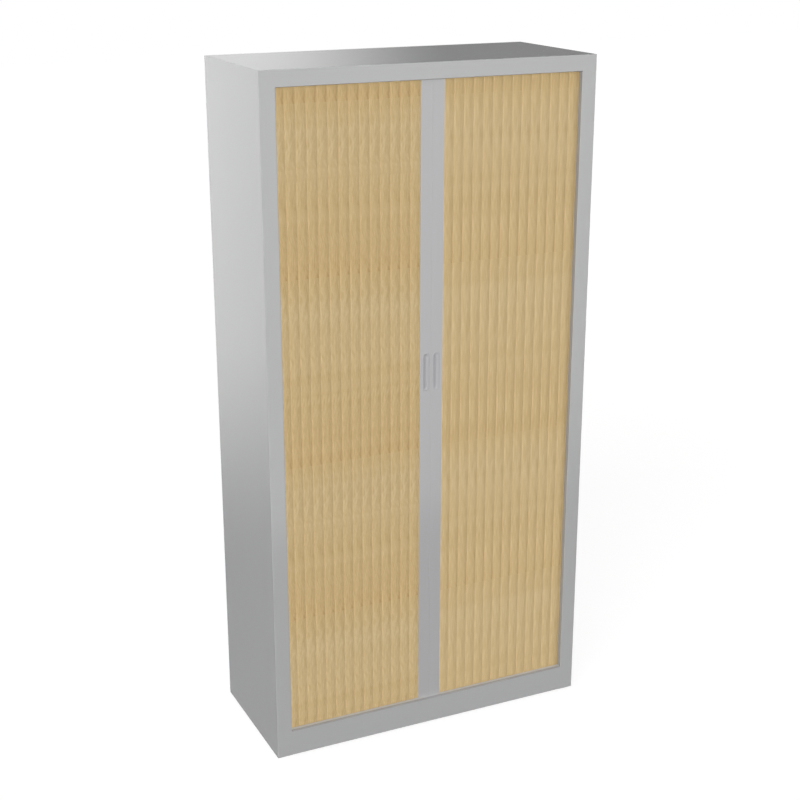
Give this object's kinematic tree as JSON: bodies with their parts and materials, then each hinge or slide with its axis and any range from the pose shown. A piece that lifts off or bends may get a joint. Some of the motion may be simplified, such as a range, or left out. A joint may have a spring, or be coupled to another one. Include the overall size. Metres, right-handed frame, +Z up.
{
  "type": "tambour door cabinet",
  "caption": "Tall free-standing steel cupboard with shelves and a pair of slatted tambour doors that slide sideways into the case.",
  "frame": {"origin": "centre of the footprint, at the floor", "axes": "+X to the right seen from the front, +Y to the back, +Z up"},
  "size_m": [1, 0.43, 1.98],
  "materials": {
    "case_paint": "smooth semi-gloss silver-grey powder coat",
    "slat_wood_effect": "satin light oak effect",
    "lead_profile": "satin silver-grey coating",
    "finger_pull": "satin silver-grey",
    "guide_plastic": "matt black",
    "track_plastic": "matt grey",
    "buffer_rubber": "matt black",
    "rivet": "bare",
    "plated_steel": "zinc plated",
    "foot_plastic": "matt black"
  },
  "bodies": {
    "case": {"left_side_panel": "case_paint", "right_side_panel": "case_paint", "top_panel": "case_paint", "plinth": "case_paint", "base_pan": "case_paint", "floor_panel": "case_paint", "ceiling_panel": "case_paint", "back_panel": "case_paint", "rear_rivets": "rivet", "left_inner_wall": "case_paint", "right_inner_wall": "case_paint", "left_lower_track": "track_plastic", "right_lower_track": "track_plastic", "left_upper_track": "track_plastic", "right_upper_track": "track_plastic", "track_end_buffers": "buffer_rubber", "shelf_clips": "plated_steel", "shelf_1": "case_paint", "shelf_2": "case_paint", "shelf_3": "case_paint", "shelf_4": "case_paint", "foot_nut_plates": "plated_steel"},
    "left_door": {"left_lead_profile": "lead_profile", "left_finger_pull": "finger_pull", "left_lead_guides": "guide_plastic"},
    "left_slat_01": {"left_slat_01": "slat_wood_effect"},
    "left_slat_02": {"left_slat_02": "slat_wood_effect"},
    "left_slat_03": {"left_slat_03": "slat_wood_effect"},
    "left_slat_04": {"left_slat_04": "slat_wood_effect"},
    "left_slat_05": {"left_slat_05": "slat_wood_effect"},
    "left_slat_06": {"left_slat_06": "slat_wood_effect"},
    "left_slat_07": {"left_slat_07": "slat_wood_effect"},
    "left_slat_08": {"left_slat_08": "slat_wood_effect"},
    "left_slat_09": {"left_slat_09": "slat_wood_effect"},
    "left_slat_10": {"left_slat_10": "slat_wood_effect"},
    "left_slat_11": {"left_slat_11": "slat_wood_effect"},
    "left_slat_12": {"left_slat_12": "slat_wood_effect"},
    "left_slat_13": {"left_slat_13": "slat_wood_effect"},
    "left_slat_14": {"left_slat_14": "slat_wood_effect"},
    "right_door": {"right_lead_profile": "lead_profile", "right_finger_pull": "finger_pull", "right_lead_guides": "guide_plastic"},
    "right_slat_01": {"right_slat_01": "slat_wood_effect"},
    "right_slat_02": {"right_slat_02": "slat_wood_effect"},
    "right_slat_03": {"right_slat_03": "slat_wood_effect"},
    "right_slat_04": {"right_slat_04": "slat_wood_effect"},
    "right_slat_05": {"right_slat_05": "slat_wood_effect"},
    "right_slat_06": {"right_slat_06": "slat_wood_effect"},
    "right_slat_07": {"right_slat_07": "slat_wood_effect"},
    "right_slat_08": {"right_slat_08": "slat_wood_effect"},
    "right_slat_09": {"right_slat_09": "slat_wood_effect"},
    "right_slat_10": {"right_slat_10": "slat_wood_effect"},
    "right_slat_11": {"right_slat_11": "slat_wood_effect"},
    "right_slat_12": {"right_slat_12": "slat_wood_effect"},
    "right_slat_13": {"right_slat_13": "slat_wood_effect"},
    "right_slat_14": {"right_slat_14": "slat_wood_effect"},
    "front_left_foot": {"front_left_foot": "foot_plastic"},
    "front_right_foot": {"front_right_foot": "foot_plastic"},
    "rear_left_foot": {"rear_left_foot": "foot_plastic"},
    "rear_right_foot": {"rear_right_foot": "foot_plastic"}
  },
  "joints": [
    {"name": "left_door_slide", "type": "slide", "parent": "case", "child": "left_door", "axis": [-1, 0, 0], "range_m": [0, 0.412]},
    {"name": "left_slat_01_slide", "type": "slide", "parent": "case", "child": "left_slat_01", "axis": [-1, 0, 0], "range_m": [0, 0.41553], "deforming": ["left_slat_01"]},
    {"name": "left_slat_02_slide", "type": "slide", "parent": "case", "child": "left_slat_02", "axis": [-1, 0, 0], "range_m": [0, 0.38657], "deforming": ["left_slat_02"]},
    {"name": "left_slat_03_slide", "type": "slide", "parent": "case", "child": "left_slat_03", "axis": [-1, 0, 0], "range_m": [0, 0.35762], "deforming": ["left_slat_03"]},
    {"name": "left_slat_04_slide", "type": "slide", "parent": "case", "child": "left_slat_04", "axis": [-1, 0, 0], "range_m": [0, 0.32866], "deforming": ["left_slat_04"]},
    {"name": "left_slat_05_slide", "type": "slide", "parent": "case", "child": "left_slat_05", "axis": [-1, 0, 0], "range_m": [0, 0.29971], "deforming": ["left_slat_05"]},
    {"name": "left_slat_06_slide", "type": "slide", "parent": "case", "child": "left_slat_06", "axis": [-1, 0, 0], "range_m": [0, 0.27076], "deforming": ["left_slat_06"]},
    {"name": "left_slat_07_slide", "type": "slide", "parent": "case", "child": "left_slat_07", "axis": [-1, 0, 0], "range_m": [0, 0.2418], "deforming": ["left_slat_07"]},
    {"name": "left_slat_08_slide", "type": "slide", "parent": "case", "child": "left_slat_08", "axis": [-1, 0, 0], "range_m": [0, 0.21285], "deforming": ["left_slat_08"]},
    {"name": "left_slat_09_slide", "type": "slide", "parent": "case", "child": "left_slat_09", "axis": [-1, 0, 0], "range_m": [0, 0.1839], "deforming": ["left_slat_09"]},
    {"name": "left_slat_10_slide", "type": "slide", "parent": "case", "child": "left_slat_10", "axis": [-1, 0, 0], "range_m": [0, 0.15494], "deforming": ["left_slat_10"]},
    {"name": "left_slat_11_slide", "type": "slide", "parent": "case", "child": "left_slat_11", "axis": [-1, 0, 0], "range_m": [0, 0.12599], "deforming": ["left_slat_11"]},
    {"name": "left_slat_12_slide", "type": "slide", "parent": "case", "child": "left_slat_12", "axis": [-1, 0, 0], "range_m": [0, 0.09703], "deforming": ["left_slat_12"]},
    {"name": "left_slat_13_slide", "type": "slide", "parent": "case", "child": "left_slat_13", "axis": [-1, 0, 0], "range_m": [0, 0.06808], "deforming": ["left_slat_13"]},
    {"name": "left_slat_14_slide", "type": "slide", "parent": "case", "child": "left_slat_14", "axis": [-1, 0, 0], "range_m": [0, 0.03912], "deforming": ["left_slat_14"]},
    {"name": "right_door_slide", "type": "slide", "parent": "case", "child": "right_door", "axis": [1, 0, 0], "range_m": [0, 0.412]},
    {"name": "right_slat_01_slide", "type": "slide", "parent": "case", "child": "right_slat_01", "axis": [1, 0, 0], "range_m": [0, 0.41553], "deforming": ["right_slat_01"]},
    {"name": "right_slat_02_slide", "type": "slide", "parent": "case", "child": "right_slat_02", "axis": [1, 0, 0], "range_m": [0, 0.38657], "deforming": ["right_slat_02"]},
    {"name": "right_slat_03_slide", "type": "slide", "parent": "case", "child": "right_slat_03", "axis": [1, 0, 0], "range_m": [0, 0.35762], "deforming": ["right_slat_03"]},
    {"name": "right_slat_04_slide", "type": "slide", "parent": "case", "child": "right_slat_04", "axis": [1, 0, 0], "range_m": [0, 0.32866], "deforming": ["right_slat_04"]},
    {"name": "right_slat_05_slide", "type": "slide", "parent": "case", "child": "right_slat_05", "axis": [1, 0, 0], "range_m": [0, 0.29971], "deforming": ["right_slat_05"]},
    {"name": "right_slat_06_slide", "type": "slide", "parent": "case", "child": "right_slat_06", "axis": [1, 0, 0], "range_m": [0, 0.27076], "deforming": ["right_slat_06"]},
    {"name": "right_slat_07_slide", "type": "slide", "parent": "case", "child": "right_slat_07", "axis": [1, 0, 0], "range_m": [0, 0.2418], "deforming": ["right_slat_07"]},
    {"name": "right_slat_08_slide", "type": "slide", "parent": "case", "child": "right_slat_08", "axis": [1, 0, 0], "range_m": [0, 0.21285], "deforming": ["right_slat_08"]},
    {"name": "right_slat_09_slide", "type": "slide", "parent": "case", "child": "right_slat_09", "axis": [1, 0, 0], "range_m": [0, 0.1839], "deforming": ["right_slat_09"]},
    {"name": "right_slat_10_slide", "type": "slide", "parent": "case", "child": "right_slat_10", "axis": [1, 0, 0], "range_m": [0, 0.15494], "deforming": ["right_slat_10"]},
    {"name": "right_slat_11_slide", "type": "slide", "parent": "case", "child": "right_slat_11", "axis": [1, 0, 0], "range_m": [0, 0.12599], "deforming": ["right_slat_11"]},
    {"name": "right_slat_12_slide", "type": "slide", "parent": "case", "child": "right_slat_12", "axis": [1, 0, 0], "range_m": [0, 0.09703], "deforming": ["right_slat_12"]},
    {"name": "right_slat_13_slide", "type": "slide", "parent": "case", "child": "right_slat_13", "axis": [1, 0, 0], "range_m": [0, 0.06808], "deforming": ["right_slat_13"]},
    {"name": "right_slat_14_slide", "type": "slide", "parent": "case", "child": "right_slat_14", "axis": [1, 0, 0], "range_m": [0, 0.03912], "deforming": ["right_slat_14"]},
    {"name": "front_left_foot_screw", "type": "slide", "parent": "case", "child": "front_left_foot", "axis": [0, 0, -1], "range_m": [0, 0.012]},
    {"name": "front_right_foot_screw", "type": "slide", "parent": "case", "child": "front_right_foot", "axis": [0, 0, -1], "range_m": [0, 0.012]},
    {"name": "rear_left_foot_screw", "type": "slide", "parent": "case", "child": "rear_left_foot", "axis": [0, 0, -1], "range_m": [0, 0.012]},
    {"name": "rear_right_foot_screw", "type": "slide", "parent": "case", "child": "rear_right_foot", "axis": [0, 0, -1], "range_m": [0, 0.012]}
  ],
  "couplings": [
    {"joint": "left_slat_01_slide", "follows": "left_door_slide", "ratio": 1.0086},
    {"joint": "left_slat_02_slide", "follows": "left_door_slide", "ratio": 0.93828},
    {"joint": "left_slat_03_slide", "follows": "left_door_slide", "ratio": 0.868},
    {"joint": "left_slat_04_slide", "follows": "left_door_slide", "ratio": 0.79773},
    {"joint": "left_slat_05_slide", "follows": "left_door_slide", "ratio": 0.72745},
    {"joint": "left_slat_06_slide", "follows": "left_door_slide", "ratio": 0.65717},
    {"joint": "left_slat_07_slide", "follows": "left_door_slide", "ratio": 0.5869},
    {"joint": "left_slat_08_slide", "follows": "left_door_slide", "ratio": 0.51662},
    {"joint": "left_slat_09_slide", "follows": "left_door_slide", "ratio": 0.44635},
    {"joint": "left_slat_10_slide", "follows": "left_door_slide", "ratio": 0.37607},
    {"joint": "left_slat_11_slide", "follows": "left_door_slide", "ratio": 0.30579},
    {"joint": "left_slat_12_slide", "follows": "left_door_slide", "ratio": 0.23552},
    {"joint": "left_slat_13_slide", "follows": "left_door_slide", "ratio": 0.16524},
    {"joint": "left_slat_14_slide", "follows": "left_door_slide", "ratio": 0.09496},
    {"joint": "right_slat_01_slide", "follows": "right_door_slide", "ratio": 1.0086},
    {"joint": "right_slat_02_slide", "follows": "right_door_slide", "ratio": 0.93828},
    {"joint": "right_slat_03_slide", "follows": "right_door_slide", "ratio": 0.868},
    {"joint": "right_slat_04_slide", "follows": "right_door_slide", "ratio": 0.79773},
    {"joint": "right_slat_05_slide", "follows": "right_door_slide", "ratio": 0.72745},
    {"joint": "right_slat_06_slide", "follows": "right_door_slide", "ratio": 0.65717},
    {"joint": "right_slat_07_slide", "follows": "right_door_slide", "ratio": 0.5869},
    {"joint": "right_slat_08_slide", "follows": "right_door_slide", "ratio": 0.51662},
    {"joint": "right_slat_09_slide", "follows": "right_door_slide", "ratio": 0.44635},
    {"joint": "right_slat_10_slide", "follows": "right_door_slide", "ratio": 0.37607},
    {"joint": "right_slat_11_slide", "follows": "right_door_slide", "ratio": 0.30579},
    {"joint": "right_slat_12_slide", "follows": "right_door_slide", "ratio": 0.23552},
    {"joint": "right_slat_13_slide", "follows": "right_door_slide", "ratio": 0.16524},
    {"joint": "right_slat_14_slide", "follows": "right_door_slide", "ratio": 0.09496}
  ]
}
